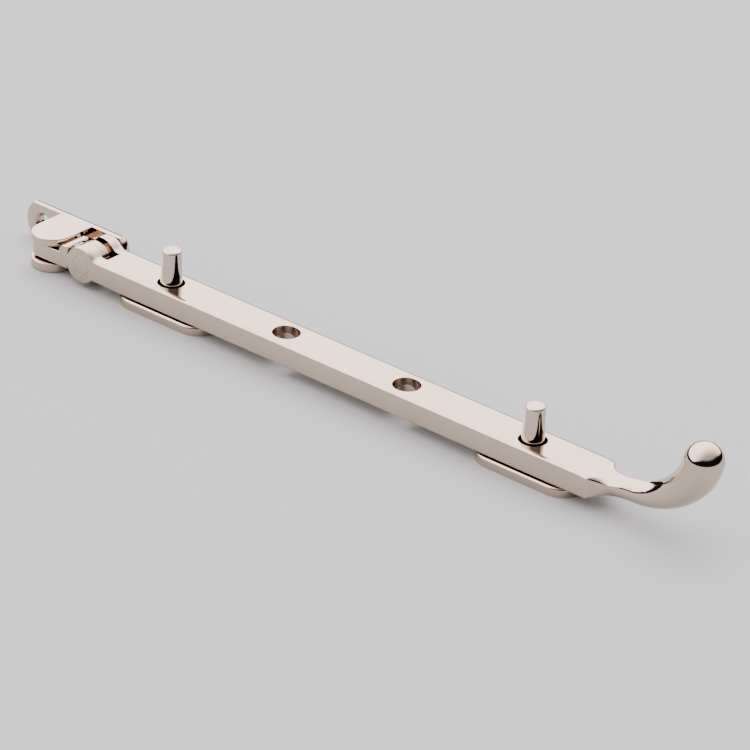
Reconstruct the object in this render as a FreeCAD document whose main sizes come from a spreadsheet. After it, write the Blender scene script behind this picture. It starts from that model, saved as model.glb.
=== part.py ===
import FreeCAD, Part
import math
import os
import Sketcher

# Peg-type casement stay, in millimetres.
# +X runs along the arm to the bulb, +Y points to the face of the sash, +Z is up.
# The origin is on the sill, on the axis of the peg nearest the hinge.

doc = FreeCAD.newDocument("casement_stay")
sizes = doc.addObject("Spreadsheet::Sheet", "sizes")

DRIVING_SIZES = {
    # arm
    "arm_width": 15.0,
    "arm_height": 7.6,
    "arm_edge_round": 0.5,
    "hole_pitch": 50.0,
    "hole_count": 4,
    "hole_diameter": 9.2,
    "shoulder_reach": 26.2,
    "shoulder_hollow": 7.0,
    # neck and bulb handle
    "neck_width": 8.6,
    "neck_height": 7.6,
    "neck_sink": 2.6,
    "neck_length": 7.7,
    "neck_underside_rise": 1.2,
    "scoop_radius": 25.0,
    "scoop_depth": 1.15,
    "scoop_length": 12.6,
    "tail_start_radius": 3.8,
    "tail_start_sink": 2.2,
    "bulb_radius": 6.4,
    "bulb_reach": 22.6,
    "bulb_rise": 17.0,
    "bulb_lean": 82.0,
    "tail_level_pull": 8.0,
    "tail_steep_pull": 11.0,
    # fork
    "pivot_reach": 34.0,
    "pivot_height": 4.2,
    "ear_radius": 6.6,
    "ear_hollow": 2.5,
    "slot_width": 6.2,
    "slot_depth": 8.2,
    "fork_pin_diameter": 6.8,
    # swivel link
    "eye_radius": 6.3,
    "eye_thickness": 3.9,
    "eye_side_clearance": 0.1,
    "tongue_radius": 6.4,
    "tongue_width": 10.6,
    "tongue_clearance": 0.6,
    "shoulder_clearance": 0.4,
    "link_shoulder_rise": 4.0,
    "link_shoulder_round": 2.8,
    "pin_clearance": 0.05,
    # sash bracket
    "pin_spacing": 18.8,
    "bracket_length": 45.5,
    "bracket_height": 12.6,
    "bracket_thickness": 3.2,
    "bracket_end_radius": 8.2,
    "bracket_reach": 11.2,
    "bracket_screw_spacing": 31.0,
    "leaf_radius": 7.3,
    "leaf_clearance": 0.3,
    "upper_leaf_thickness": 2.8,
    "lower_leaf_thickness": 3.4,
    "swivel_pin_diameter": 5.0,
    # peg plates and pegs
    "plate_length": 39.6,
    "plate_width": 16.0,
    "plate_thickness": 3.3,
    "plate_round": 1.2,
    "plate_gap": 0.7,
    "plate_screw_spacing": 25.0,
    "peg_diameter": 7.5,
    "peg_top_diameter": 6.5,
    "peg_stand": 12.0,
    "peg_round": 0.8,
    "spigot_diameter": 5.0,
    # wood screw holes
    "screw_hole_diameter": 4.4,
    "screw_head_diameter": 6.9,
}

for row, (alias, number) in enumerate(DRIVING_SIZES.items(), start=1):
    sizes.set(f"A{row}", alias)
    sizes.set(f"B{row}", str(number))
    sizes.setAlias(f"B{row}", alias)
doc.recompute()


def value(text):
    """The number that an expression on the sheet gives."""
    found = sizes.evalExpression(text)
    return float(getattr(found, "Value", found))


# Levels and places that several pieces share, as expressions on the sheet
ARM_BOTTOM = "(sizes.plate_thickness + sizes.plate_gap)"
ARM_TOP = f"({ARM_BOTTOM} + sizes.arm_height)"
SHOULDER_X = "(sizes.hole_pitch * (sizes.hole_count - 1) + sizes.shoulder_reach)"
FORK_X = "(0 - sizes.pivot_reach)"
FORK_Z = f"({ARM_BOTTOM} + sizes.pivot_height)"
LINK_Y = "(sizes.eye_thickness / 2 + sizes.eye_side_clearance - sizes.slot_width / 2)"
SWIVEL_X = f"({FORK_X} - sizes.pin_spacing)"
GAP_BOTTOM = "sizes.lower_leaf_thickness"
GAP_TOP = "(sizes.bracket_height - sizes.upper_leaf_thickness)"


def new_body(name):
    body = doc.addObject("PartDesign::Body", name)
    body.Label = name
    return body


def new_sketch(body, plane, name, offset=("0", "0", "0"), turn=None):
    """A sketch on an origin plane of its own body, moved by offset in the plane's own axes."""
    sketch = body.newObject("Sketcher::SketchObject", name)
    support = next(item for item in body.Origin.OriginFeatures if item.Role == plane)
    sketch.AttachmentSupport = [(support, "")]
    sketch.MapMode = "FlatFace"
    if turn:
        upwards = FreeCAD.Rotation(FreeCAD.Vector(-1, 0, 0), 1)
        sketch.AttachmentOffset = FreeCAD.Placement(FreeCAD.Vector(), upwards)
        sketch.setExpression("AttachmentOffset.Rotation.Angle", turn)
    for axis, text in zip("xyz", offset):
        sketch.setExpression(f"AttachmentOffset.Base.{axis}", text)
    return sketch


def dimension(sketch, kind, places, text):
    """A dimension that follows an expression on the sheet."""
    number = sketch.addConstraint(Sketcher.Constraint(kind, *places, value(text)))
    sketch.setExpression(f"Constraints[{number}]", text)


def hold_point(sketch, edge, end, x, y):
    dimension(sketch, "DistanceX", (-1, 1, edge, end), x)
    dimension(sketch, "DistanceY", (-1, 1, edge, end), y)


def add_circle(sketch, x, y, diameter):
    centre = FreeCAD.Vector(value(x), value(y), 0)
    circle = Part.Circle(centre, FreeCAD.Vector(0, 0, 1), value(diameter) / 2)
    edge = sketch.addGeometry(circle, False)
    dimension(sketch, "Diameter", (edge,), diameter)
    hold_point(sketch, edge, 3, x, y)


def add_outline(sketch, corners):
    """A closed outline, anticlockwise. Each corner is (x, y) or (x, y, bulge, radius), where the edge
    that leaves it is an arc: bulge "out" swells the outline and "in" hollows it."""
    points = [FreeCAD.Vector(value(corner[0]), value(corner[1]), 0) for corner in corners]
    ends = []
    for number, corner in enumerate(corners):
        start = points[number]
        finish = points[(number + 1) % len(points)]
        if len(corner) == 2:
            edge = sketch.addGeometry(Part.LineSegment(start, finish), False)
            ends.append((edge, 1, 2))
            continue
        radius = value(corner[3])
        chord = finish - start
        side = 1 if corner[2] == "out" else -1
        height = math.sqrt(max(radius ** 2 - (chord.Length / 2) ** 2, 0))
        normal = FreeCAD.Vector(-chord.y, chord.x, 0).normalize()
        centre = (start + finish) / 2 + normal * side * height
        first, last = (start, finish) if side > 0 else (finish, start)
        angles = [math.atan2(point.y - centre.y, point.x - centre.x) for point in (first, last)]
        circle = Part.Circle(centre, FreeCAD.Vector(0, 0, 1), radius)
        edge = sketch.addGeometry(Part.ArcOfCircle(circle, angles[0], angles[1]), False)
        dimension(sketch, "Radius", (edge,), corner[3])
        ends.append((edge, 1, 2) if side > 0 else (edge, 2, 1))
    for number, corner in enumerate(corners):
        edge, start_end, finish_end = ends[number]
        following, next_start, _ = ends[(number + 1) % len(ends)]
        sketch.addConstraint(Sketcher.Constraint("Coincident", edge, finish_end, following, next_start))
        hold_point(sketch, edge, start_end, corner[0], corner[1])


def add_feature(body, kind, name, sketch):
    feature = body.newObject(f"PartDesign::{kind}", name)
    feature.Profile = sketch
    return feature


def add_pad(body, name, sketch, length, both_ways=False):
    pad = add_feature(body, "Pad", name, sketch)
    pad.Midplane = both_ways
    pad.setExpression("Length", length)
    doc.recompute()
    return pad


def add_through_pocket(body, name, sketch):
    """A pocket that runs through everything, both ways from its sketch."""
    before = body.Shape.Volume
    pocket = add_feature(body, "Pocket", name, sketch)
    pocket.Type = "ThroughAll"
    pocket.Midplane = True
    doc.recompute()
    if body.Shape.Volume > before - 0.1:
        raise RuntimeError(f"{name} cuts nothing")
    return pocket


def add_screw_holes(body, name, sketch):
    """Countersunk wood screw holes at the sketch's circles."""
    doc.recompute()
    before = body.Shape.Volume
    hole = add_feature(body, "Hole", name, sketch)
    hole.DepthType = "ThroughAll"
    hole.setExpression("Diameter", "sizes.screw_hole_diameter")
    hole.HoleCutType = "Countersink"
    hole.HoleCutCustomValues = True
    hole.HoleCutCountersinkAngle = 90
    hole.setExpression("HoleCutDiameter", "sizes.screw_head_diameter")
    doc.recompute()
    if body.Shape.Volume > before - 0.1:
        raise RuntimeError(f"{name} cuts nothing")
    return hole


def round_edges(body, name, base, radius, wanted):
    """A fillet on every edge of the base that the test picks."""
    picked = [f"Edge{number}" for number, edge in enumerate(base.Shape.Edges, start=1) if wanted(edge)]
    if not picked:
        raise RuntimeError(f"{name} finds no edge")
    fillet = body.newObject("PartDesign::Fillet", name)
    fillet.Base = (base, picked)
    fillet.setExpression("Radius", radius)
    doc.recompute()
    return fillet


# The arm: one casting with a fork, a bar with peg holes, a scooped neck and a bulb

def arm_side_outline():
    """The fork's round ears and the bar, seen from the front."""
    rise = "(sizes.arm_height - sizes.pivot_height)"
    reach = "(sizes.ear_radius + sizes.ear_hollow)"
    hollow_x = f"({FORK_X} + sqrt({reach}^2 - (sizes.ear_hollow + {rise})^2))"
    share = f"(sizes.ear_radius / {reach})"
    touch_x = f"({FORK_X} + ({hollow_x} - {FORK_X}) * {share})"
    touch_z = f"({FORK_Z} + (sizes.ear_hollow + {rise}) * {share})"
    notch_x = f"({FORK_X} + sqrt(sizes.ear_radius^2 - sizes.pivot_height^2))"
    ear = "sizes.ear_radius"
    return [
        (SHOULDER_X, ARM_BOTTOM),
        (SHOULDER_X, ARM_TOP),
        (hollow_x, ARM_TOP, "in", "sizes.ear_hollow"),
        (touch_x, touch_z, "out", ear),
        (FORK_X, f"{FORK_Z} + {ear}", "out", ear),
        (f"{FORK_X} - {ear}", FORK_Z, "out", ear),
        (FORK_X, f"{FORK_Z} - {ear}", "out", ear),
        (notch_x, ARM_BOTTOM),
    ]


NECK_X = (f"({SHOULDER_X} + sqrt(sizes.shoulder_hollow^2 - (sizes.neck_width / 2 + sizes.shoulder_hollow"
          " - sizes.arm_width / 2)^2))")


def neck_plan_outline():
    """The shoulders' hollows and the start of the neck, seen from above."""
    back_x = f"({SHOULDER_X} - 1)"
    end_x = f"({NECK_X} + 1)"
    half_arm = "sizes.arm_width / 2"
    half_neck = "sizes.neck_width / 2"
    hollow = "sizes.shoulder_hollow"
    return [
        (back_x, f"0 - {half_arm}"),
        (SHOULDER_X, f"0 - {half_arm}", "in", hollow),
        (NECK_X, f"0 - {half_neck}"),
        (end_x, f"0 - {half_neck}"),
        (end_x, half_neck),
        (NECK_X, half_neck, "in", hollow),
        (SHOULDER_X, half_arm),
        (back_x, half_arm),
    ]


TAIL_X = f"({NECK_X} + sizes.neck_length)"
TAIL_Z = f"({ARM_TOP} - sizes.tail_start_sink)"
BULB_X = f"({TAIL_X} + sizes.bulb_reach)"
BULB_Z = f"({ARM_TOP} + sizes.bulb_rise)"


def tail_station(along):
    """Place, lean and radius of the tail's round section at a share of its centre line.

    The centre line is a cubic curve that leaves the neck level and arrives at the bulb leaning."""
    back = 1 - along
    level = "sizes.tail_level_pull"
    steep_run = "(sizes.tail_steep_pull * cos(sizes.bulb_lean))"
    steep_rise = "(sizes.tail_steep_pull * sin(sizes.bulb_lean))"
    reach = "sizes.bulb_reach"
    rise = f"({BULB_Z} - {TAIL_Z})"
    early = 3 * back ** 2 * along
    late = 3 * back * along ** 2
    x = f"({TAIL_X} + {early} * {level} + {late} * ({reach} - {steep_run}) + {along ** 3} * {reach})"
    z = f"({TAIL_Z} + {late} * ({rise} - {steep_rise}) + {along ** 3} * {rise})"
    middle = 2 * back * along
    run_slope = (f"({back ** 2} * {level} + {middle} * ({reach} - {level} - {steep_run})"
                 f" + {along ** 2} * {steep_run})")
    rise_slope = f"({middle} * ({rise} - {steep_rise}) + {along ** 2} * {steep_rise})"
    eased = along ** 0.9
    growth = 3 * eased ** 2 - 2 * eased ** 3
    radius = f"(sizes.tail_start_radius + (sizes.bulb_radius - sizes.tail_start_radius) * {growth:.6f})"
    return x, z, f"atan2({rise_slope}; {run_slope})", radius


def add_neck_section(body):
    sketch = new_sketch(body, "YZ_Plane", "neck_section", ("0", f"{ARM_TOP} - sizes.neck_sink", NECK_X))
    wide, high = value("sizes.neck_width / 2"), value("sizes.neck_height / 2")
    ellipse = Part.Ellipse(FreeCAD.Vector(wide, 0, 0), FreeCAD.Vector(0, high, 0), FreeCAD.Vector(0, 0, 0))
    edge = sketch.addGeometry(ellipse, False)
    sketch.exposeInternalGeometry(edge)
    sketch.addConstraint(Sketcher.Constraint("Coincident", edge, 3, -1, 1))
    sketch.addConstraint(Sketcher.Constraint("PointOnObject", edge + 1, 1, -1))
    dimension(sketch, "Distance", (edge + 1,), "sizes.neck_width")
    dimension(sketch, "Distance", (edge + 2,), "sizes.neck_height")
    return sketch


def make_arm():
    body = new_body("stay_arm")
    side = new_sketch(body, "XZ_Plane", "arm_side")
    add_outline(side, arm_side_outline())
    add_pad(body, "bar", side, "sizes.arm_width", both_ways=True)

    plan = new_sketch(body, "XY_Plane", "neck_plan", ("0", "0", ARM_BOTTOM))
    add_outline(plan, neck_plan_outline())
    add_pad(body, "shoulders", plan, "sizes.arm_height")

    under = new_sketch(body, "XZ_Plane", "neck_underside")
    past_neck = f"({NECK_X} + 2)"
    add_outline(under, [
        (SHOULDER_X, f"{ARM_BOTTOM} - 1"),
        (past_neck, f"{ARM_BOTTOM} - 1"),
        (past_neck, f"{ARM_BOTTOM} + sizes.neck_underside_rise"),
        (NECK_X, f"{ARM_BOTTOM} + sizes.neck_underside_rise"),
        (SHOULDER_X, ARM_BOTTOM),
    ])
    add_through_pocket(body, "underside_lift", under)

    sections = [add_neck_section(body)]
    for number in range(5):
        x, z, lean, radius = tail_station(number / 4)
        section = new_sketch(body, "YZ_Plane", f"tail_section_{number + 1}", ("0", z, x), lean)
        add_circle(section, "0", "0", f"2 * {radius}")
        sections.append(section)
    doc.recompute()
    tail = add_feature(body, "AdditiveLoft", "tail", sections[0])
    tail.Sections = sections[1:]
    doc.recompute()

    bulb = body.newObject("PartDesign::AdditiveSphere", "bulb")
    bulb.setExpression("Radius", "sizes.bulb_radius")
    bulb.setExpression("Placement.Base.x", BULB_X)
    bulb.setExpression("Placement.Base.z", BULB_Z)
    doc.recompute()

    scoop = new_sketch(body, "XZ_Plane", "neck_scoop")
    half_mouth = "sqrt(sizes.scoop_radius^2 - (sizes.scoop_radius - sizes.scoop_depth)^2)"
    low_x = f"({SHOULDER_X} - 1 + {half_mouth})"
    end_x = f"({low_x} + sizes.scoop_length)"
    end_z = (f"({ARM_TOP} - sizes.scoop_depth + sizes.scoop_radius"
             " - sqrt(sizes.scoop_radius^2 - sizes.scoop_length^2))")
    above = f"{ARM_TOP} + sizes.bulb_rise / 2"
    add_outline(scoop, [
        (f"{SHOULDER_X} - 1", ARM_TOP, "out", "sizes.scoop_radius"),
        (low_x, f"{ARM_TOP} - sizes.scoop_depth", "out", "sizes.scoop_radius"),
        (end_x, end_z),
        (end_x, above),
        (f"{SHOULDER_X} - 1", above),
    ])
    add_through_pocket(body, "scoop", scoop)

    slot = new_sketch(body, "XY_Plane", "fork_slot")
    root_x = f"({FORK_X} + sizes.slot_depth)"
    mouth_x = f"({FORK_X} - sizes.ear_radius - 1)"
    add_outline(slot, [
        (mouth_x, "0 - sizes.slot_width / 2"),
        (root_x, "0 - sizes.slot_width / 2"),
        (root_x, "sizes.slot_width / 2"),
        (mouth_x, "sizes.slot_width / 2"),
    ])
    add_through_pocket(body, "slot", slot)

    pin_hole = new_sketch(body, "XZ_Plane", "fork_pin_hole")
    add_circle(pin_hole, FORK_X, FORK_Z, "sizes.fork_pin_diameter")
    add_through_pocket(body, "fork_bore", pin_hole)

    peg_hole = new_sketch(body, "XY_Plane", "peg_hole")
    add_circle(peg_hole, "0", "0", "sizes.hole_diameter")
    first_hole = add_through_pocket(body, "first_hole", peg_hole)
    holes = body.newObject("PartDesign::LinearPattern", "hole_row")
    holes.Originals = [first_hole]
    holes.Direction = (peg_hole, ["H_Axis"])
    holes.setExpression("Length", "sizes.hole_pitch * (sizes.hole_count - 1)")
    holes.setExpression("Occurrences", "sizes.hole_count")
    body.Tip = holes
    doc.recompute()

    shortest = value("sizes.hole_pitch * (sizes.hole_count - 1)")

    def is_long_edge(edge):
        along_bar = abs(edge.BoundBox.XLength - edge.Length) < 0.001
        return along_bar and edge.Length > shortest

    round_edges(body, "edge_rounds", holes, "sizes.arm_edge_round", is_long_edge)


# The pins: plain riveted rods, ground flush

def make_pins():
    fork_pin = doc.addObject("Part::Cylinder", "fork_pin")
    fork_pin.Label = "fork_pin"
    fork_pin.Placement = FreeCAD.Placement(FreeCAD.Vector(), FreeCAD.Rotation(FreeCAD.Vector(1, 0, 0), 90))
    fork_pin.setExpression("Radius", "sizes.fork_pin_diameter / 2")
    fork_pin.setExpression("Height", "sizes.arm_width")
    fork_pin.setExpression("Placement.Base.x", FORK_X)
    fork_pin.setExpression("Placement.Base.y", "sizes.arm_width / 2")
    fork_pin.setExpression("Placement.Base.z", FORK_Z)

    swivel_pin = doc.addObject("Part::Cylinder", "swivel_pin")
    swivel_pin.Label = "swivel_pin"
    swivel_pin.setExpression("Radius", "sizes.swivel_pin_diameter / 2")
    swivel_pin.setExpression("Height", "sizes.bracket_height")
    swivel_pin.setExpression("Placement.Base.x", SWIVEL_X)
    swivel_pin.setExpression("Placement.Base.y", LINK_Y)
    doc.recompute()


# The swivel link: a tongue between the bracket's leaves, a shoulder, and an upright eye in the fork

def make_link():
    body = new_body("swivel_link")
    body.setExpression("Placement.Base.y", LINK_Y)
    tongue_bottom = f"({GAP_BOTTOM} + sizes.tongue_clearance)"
    tongue_top = f"({GAP_TOP} - sizes.tongue_clearance)"
    shoulder_back = f"({SWIVEL_X} + sizes.leaf_radius + sizes.leaf_clearance)"
    shoulder_front = f"({FORK_X} - sizes.ear_radius - sizes.shoulder_clearance)"
    shoulder_top = f"({FORK_Z} + sizes.link_shoulder_rise)"

    plan = new_sketch(body, "XY_Plane", "tongue_plan", ("0", "0", tongue_bottom))
    half = "sizes.tongue_width / 2"
    corner_x = f"({SWIVEL_X} - sqrt(sizes.tongue_radius^2 - ({half})^2))"
    add_outline(plan, [
        (corner_x, f"0 - {half}"),
        (shoulder_front, f"0 - {half}"),
        (shoulder_front, half),
        (corner_x, half, "out", "sizes.tongue_radius"),
    ])
    add_pad(body, "tongue", plan, f"{tongue_top} - {tongue_bottom}")

    side = new_sketch(body, "XZ_Plane", "shoulder_side")
    rounding = "sizes.link_shoulder_round"
    add_outline(side, [
        (shoulder_back, tongue_bottom),
        (shoulder_front, tongue_bottom),
        (shoulder_front, shoulder_top),
        (f"{shoulder_back} + {rounding}", shoulder_top, "out", rounding),
        (shoulder_back, f"{shoulder_top} - {rounding}"),
    ])
    add_pad(body, "shoulder", side, "sizes.tongue_width", both_ways=True)

    eye = new_sketch(body, "XZ_Plane", "eye_side")
    ring = "sizes.eye_radius"
    low_x = f"({FORK_X} - sqrt({ring}^2 - ({FORK_Z} - {tongue_bottom})^2))"
    high_x = f"({FORK_X} - sqrt({ring}^2 - sizes.link_shoulder_rise^2))"
    add_outline(eye, [
        (f"{shoulder_front} - 1", tongue_bottom),
        (low_x, tongue_bottom, "out", ring),
        (FORK_X, f"{FORK_Z} - {ring}", "out", ring),
        (f"{FORK_X} + {ring}", FORK_Z, "out", ring),
        (FORK_X, f"{FORK_Z} + {ring}", "out", ring),
        (high_x, shoulder_top),
        (f"{shoulder_front} - 1", shoulder_top),
    ])
    add_pad(body, "eye", eye, "sizes.eye_thickness", both_ways=True)

    fork_hole = new_sketch(body, "XZ_Plane", "eye_hole")
    add_circle(fork_hole, FORK_X, FORK_Z, "sizes.fork_pin_diameter + 2 * sizes.pin_clearance")
    add_through_pocket(body, "eye_bore", fork_hole)

    swivel_hole = new_sketch(body, "XY_Plane", "tongue_hole")
    add_circle(swivel_hole, SWIVEL_X, "0", "sizes.swivel_pin_diameter + 2 * sizes.pin_clearance")
    add_through_pocket(body, "tongue_bore", swivel_hole)


# The sash bracket: a back plate with swelling ends and two leaves that hold the swivel pin

def make_bracket():
    body = new_body("sash_bracket")
    body.setExpression("Placement.Base.x", SWIVEL_X)
    body.setExpression("Placement.Base.y", LINK_Y)
    reach = "sizes.bracket_reach"
    high = "sizes.bracket_height"
    half_length = "sizes.bracket_length / 2"
    end_radius = "sizes.bracket_end_radius"
    bulge = f"({end_radius} - sqrt({end_radius}^2 - ({high} / 2)^2))"

    face = new_sketch(body, "XZ_Plane", "plate_face", ("0", "0", f"0 - {reach}"))
    add_outline(face, [
        (f"{bulge} - {half_length}", "0"),
        (f"{half_length} - {bulge}", "0", "out", end_radius),
        (half_length, f"{high} / 2", "out", end_radius),
        (f"{half_length} - {bulge}", high),
        (f"{bulge} - {half_length}", high, "out", end_radius),
        (f"0 - {half_length}", f"{high} / 2", "out", end_radius),
    ])
    plate = add_feature(body, "Pad", "plate", face)
    plate.Reversed = True
    plate.setExpression("Length", "sizes.bracket_thickness")
    doc.recompute()

    nose = "sizes.leaf_radius"
    inside = f"{reach} + sizes.bracket_thickness / 2"
    levels = {
        "lower_leaf": ("0", "sizes.lower_leaf_thickness"),
        "upper_leaf": (GAP_TOP, "sizes.upper_leaf_thickness"),
    }
    for name, (level, thickness) in levels.items():
        plan = new_sketch(body, "XY_Plane", f"{name}_plan", ("0", "0", level))
        add_outline(plan, [
            (f"0 - {nose}", "0", "out", nose),
            ("0", f"0 - {nose}", "out", nose),
            (nose, "0"),
            (nose, inside),
            (f"0 - {nose}", inside),
        ])
        add_pad(body, name, plan, thickness)

    pin_hole = new_sketch(body, "XY_Plane", "swivel_pin_hole")
    add_circle(pin_hole, "0", "0", "sizes.swivel_pin_diameter")
    add_through_pocket(body, "swivel_bore", pin_hole)

    screws = new_sketch(body, "XZ_Plane", "bracket_screws", ("0", "0", f"0 - {reach}"))
    for side in ("0 - ", ""):
        place = f"{side}sizes.bracket_screw_spacing / 2"
        add_circle(screws, place, f"{high} / 2", "sizes.screw_hole_diameter")
    add_screw_holes(body, "bracket_screw_holes", screws)


# The two pegs and their plates, which are screwed to the sill

def make_peg_plate(name, place_x):
    body = new_body(f"{name}_plate")
    body.setExpression("Placement.Base.x", place_x)
    plan = new_sketch(body, "XY_Plane", f"{name}_plate_plan")
    end = "sizes.plate_width / 2"
    straight = f"(sizes.plate_length / 2 - {end})"
    add_outline(plan, [
        (f"0 - {straight}", f"0 - {end}"),
        (straight, f"0 - {end}", "out", end),
        (f"{straight} + {end}", "0", "out", end),
        (straight, end),
        (f"0 - {straight}", end, "out", end),
        (f"0 - {straight} - {end}", "0", "out", end),
    ])
    pad = add_pad(body, f"{name}_plate_pad", plan, "sizes.plate_thickness")

    top = value("sizes.plate_thickness")

    def is_top_edge(edge):
        return edge.BoundBox.ZMin > top - 0.001

    round_edges(body, f"{name}_plate_round", pad, "sizes.plate_round", is_top_edge)

    spigot_hole = new_sketch(body, "XY_Plane", f"{name}_spigot_hole")
    add_circle(spigot_hole, "0", "0", "sizes.spigot_diameter")
    add_through_pocket(body, f"{name}_spigot_bore", spigot_hole)

    screws = new_sketch(body, "XY_Plane", f"{name}_screws", ("0", "0", "sizes.plate_thickness"))
    for side in ("0 - ", ""):
        add_circle(screws, f"{side}sizes.plate_screw_spacing / 2", "0", "sizes.screw_hole_diameter")
    add_screw_holes(body, f"{name}_screw_holes", screws)


def make_peg(name, place_x):
    body = new_body(name)
    body.setExpression("Placement.Base.x", place_x)
    profile = new_sketch(body, "XZ_Plane", f"{name}_profile")
    top = f"({ARM_TOP} + sizes.peg_stand)"
    tip = "sizes.peg_top_diameter / 2"
    add_outline(profile, [
        ("0", "0"),
        ("sizes.spigot_diameter / 2", "0"),
        ("sizes.spigot_diameter / 2", "sizes.plate_thickness"),
        ("sizes.peg_diameter / 2", "sizes.plate_thickness"),
        ("sizes.peg_diameter / 2", ARM_TOP),
        (tip, f"{top} - sizes.peg_round", "out", "sizes.peg_round"),
        (f"{tip} - sizes.peg_round", top),
        ("0", top),
    ])
    turned = add_feature(body, "Revolution", f"{name}_turned", profile)
    turned.ReferenceAxis = (profile, ["V_Axis"])
    turned.Angle = 360
    doc.recompute()


make_arm()
make_pins()
make_link()
make_bracket()
PEG_PLACES = {"hinge_side_peg": "0", "handle_side_peg": "sizes.hole_pitch * (sizes.hole_count - 1)"}
for peg_name, peg_x in PEG_PLACES.items():
    make_peg_plate(peg_name, peg_x)
    make_peg(peg_name, peg_x)
doc.recompute()

for item in doc.Objects:
    if {"Invalid", "Error"} & set(item.State):
        raise RuntimeError(f"{item.Label} failed: {item.State}")
pieces = [item for item in doc.Objects if item.TypeId in ("PartDesign::Body", "Part::Cylinder")]
for piece in pieces:
    if piece.Shape.isNull() or not piece.Shape.isValid() or len(piece.Shape.Solids) != 1:
        raise RuntimeError(f"{piece.Label} isn't one valid solid")

os.makedirs("parts", exist_ok=True)
for piece in pieces:
    piece.Shape.exportStep(f"parts/{piece.Label}.step")
    box = piece.Shape.BoundBox
    print(f"{piece.Label}: volume {piece.Shape.Volume:.1f}, x {box.XMin:.2f} to {box.XMax:.2f}, "
          f"y {box.YMin:.2f} to {box.YMax:.2f}, z {box.ZMin:.2f} to {box.ZMax:.2f}")
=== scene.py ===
import math
import bmesh
import bpy
import numpy as np
from mathutils import Matrix, Vector


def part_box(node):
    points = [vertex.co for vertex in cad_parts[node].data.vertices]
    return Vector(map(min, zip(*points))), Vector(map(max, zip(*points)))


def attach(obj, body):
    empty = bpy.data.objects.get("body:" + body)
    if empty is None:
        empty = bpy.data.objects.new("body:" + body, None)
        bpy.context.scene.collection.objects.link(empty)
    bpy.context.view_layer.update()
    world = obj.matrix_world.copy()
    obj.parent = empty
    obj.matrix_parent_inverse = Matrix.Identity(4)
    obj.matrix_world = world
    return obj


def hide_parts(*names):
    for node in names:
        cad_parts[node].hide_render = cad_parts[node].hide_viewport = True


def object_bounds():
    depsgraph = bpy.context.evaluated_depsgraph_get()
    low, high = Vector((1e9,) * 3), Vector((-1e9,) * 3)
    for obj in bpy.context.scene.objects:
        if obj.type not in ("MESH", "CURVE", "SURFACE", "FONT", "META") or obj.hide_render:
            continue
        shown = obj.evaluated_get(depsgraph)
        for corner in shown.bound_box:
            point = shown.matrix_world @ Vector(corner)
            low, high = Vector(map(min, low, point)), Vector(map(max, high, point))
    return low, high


# Casement window stay in polished nickel. Lengths are in millimetres until addMesh turns them into metres.
# +X runs along the arm to the bulb, +Y points to the sash, +Z is up.

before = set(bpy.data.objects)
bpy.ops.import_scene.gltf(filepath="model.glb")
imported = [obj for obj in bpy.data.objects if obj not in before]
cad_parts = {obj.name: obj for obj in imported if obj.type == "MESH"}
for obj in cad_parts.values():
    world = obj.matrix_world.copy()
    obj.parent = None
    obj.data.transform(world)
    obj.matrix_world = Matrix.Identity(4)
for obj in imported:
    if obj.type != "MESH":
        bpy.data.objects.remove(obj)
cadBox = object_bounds()
mm = 0.001
mergeGap = 0.003  # points closer than this become one
thinEdge = 0.001  # edges shorter than this are dissolved
sharpAngle = 32.0  # degrees: an edge that turns more stays crisp
overlap = 0.01  # joined solids and bores pass each other by this, so that no faces coincide
cutterOver = 1.0  # how far a cutter passes the face it cuts


def nodeBox(node):
    # The low and high corners of a CAD node's box, in millimetres.
    low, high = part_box(node)
    return np.array(low) / mm, np.array(high) / mm


def nodeCentre(node):
    # The middle of a CAD node's box, in millimetres.
    low, high = nodeBox(node)
    return (low + high) / 2


bracketLow, bracketHigh = nodeBox("sash_bracket")
linkLow, linkHigh = nodeBox("swivel_link")
forkAxis = nodeCentre("fork_pin")  # the level pin through the fork
swivelAxis = nodeCentre("swivel_pin")  # the upright pin through the leaves
firstPeg = nodeCentre("hinge_side_peg")
lastPeg = nodeCentre("handle_side_peg")
plateTop = nodeBox("hinge_side_peg_plate")[1][2]


# Shared shape tools

def smooth(x, start, end):
    # 0 before start, 1 after end, and an S curve 3t^2 - 2t^3 between them.
    t = np.clip((np.asarray(x, float) - start) / (end - start), 0, 1)
    return t * t * (3 - 2 * t)


def mix(first, second, share):
    # first + (second - first) * share.
    return first + (second - first) * share


def arcPoints(centre, radius, fromDegrees, toDegrees, steps):
    # Points on a circle: centre + radius * (cos angle, sin angle), with the angle in even steps.
    angle = np.radians(np.linspace(fromDegrees, toDegrees, steps + 1))
    return np.column_stack([centre[0] + radius * np.cos(angle), centre[1] + radius * np.sin(angle)])


def gridQuads(rows, columns, roundColumns=False):
    # Quads between neighbours on a rows by columns grid of points. The rows can close into rings.
    r = np.arange(rows - 1)[:, None] * columns
    c = np.arange(columns if roundColumns else columns - 1)[None, :]
    nextC = (c + 1) % columns
    corners = [r + c, r + nextC, r + columns + nextC, r + columns + c]
    return np.stack(corners, -1).reshape(-1, 4)


def addMesh(name, points, faces):
    # A closed mesh from points in millimetres. Doubles are merged and faces turned outwards.
    mesh = bpy.data.meshes.new(name)
    mesh.from_pydata((np.asarray(points).reshape(-1, 3) * mm).tolist(), [], faces)
    work = bmesh.new()
    work.from_mesh(mesh)
    bmesh.ops.remove_doubles(work, verts=work.verts, dist=mergeGap * mm)
    bmesh.ops.dissolve_degenerate(work, edges=work.edges, dist=thinEdge * mm)
    bmesh.ops.recalc_face_normals(work, faces=work.faces)
    work.to_mesh(mesh)
    work.free()
    piece = bpy.data.objects.new(name, mesh)
    bpy.context.scene.collection.objects.link(piece)
    return piece


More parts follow.
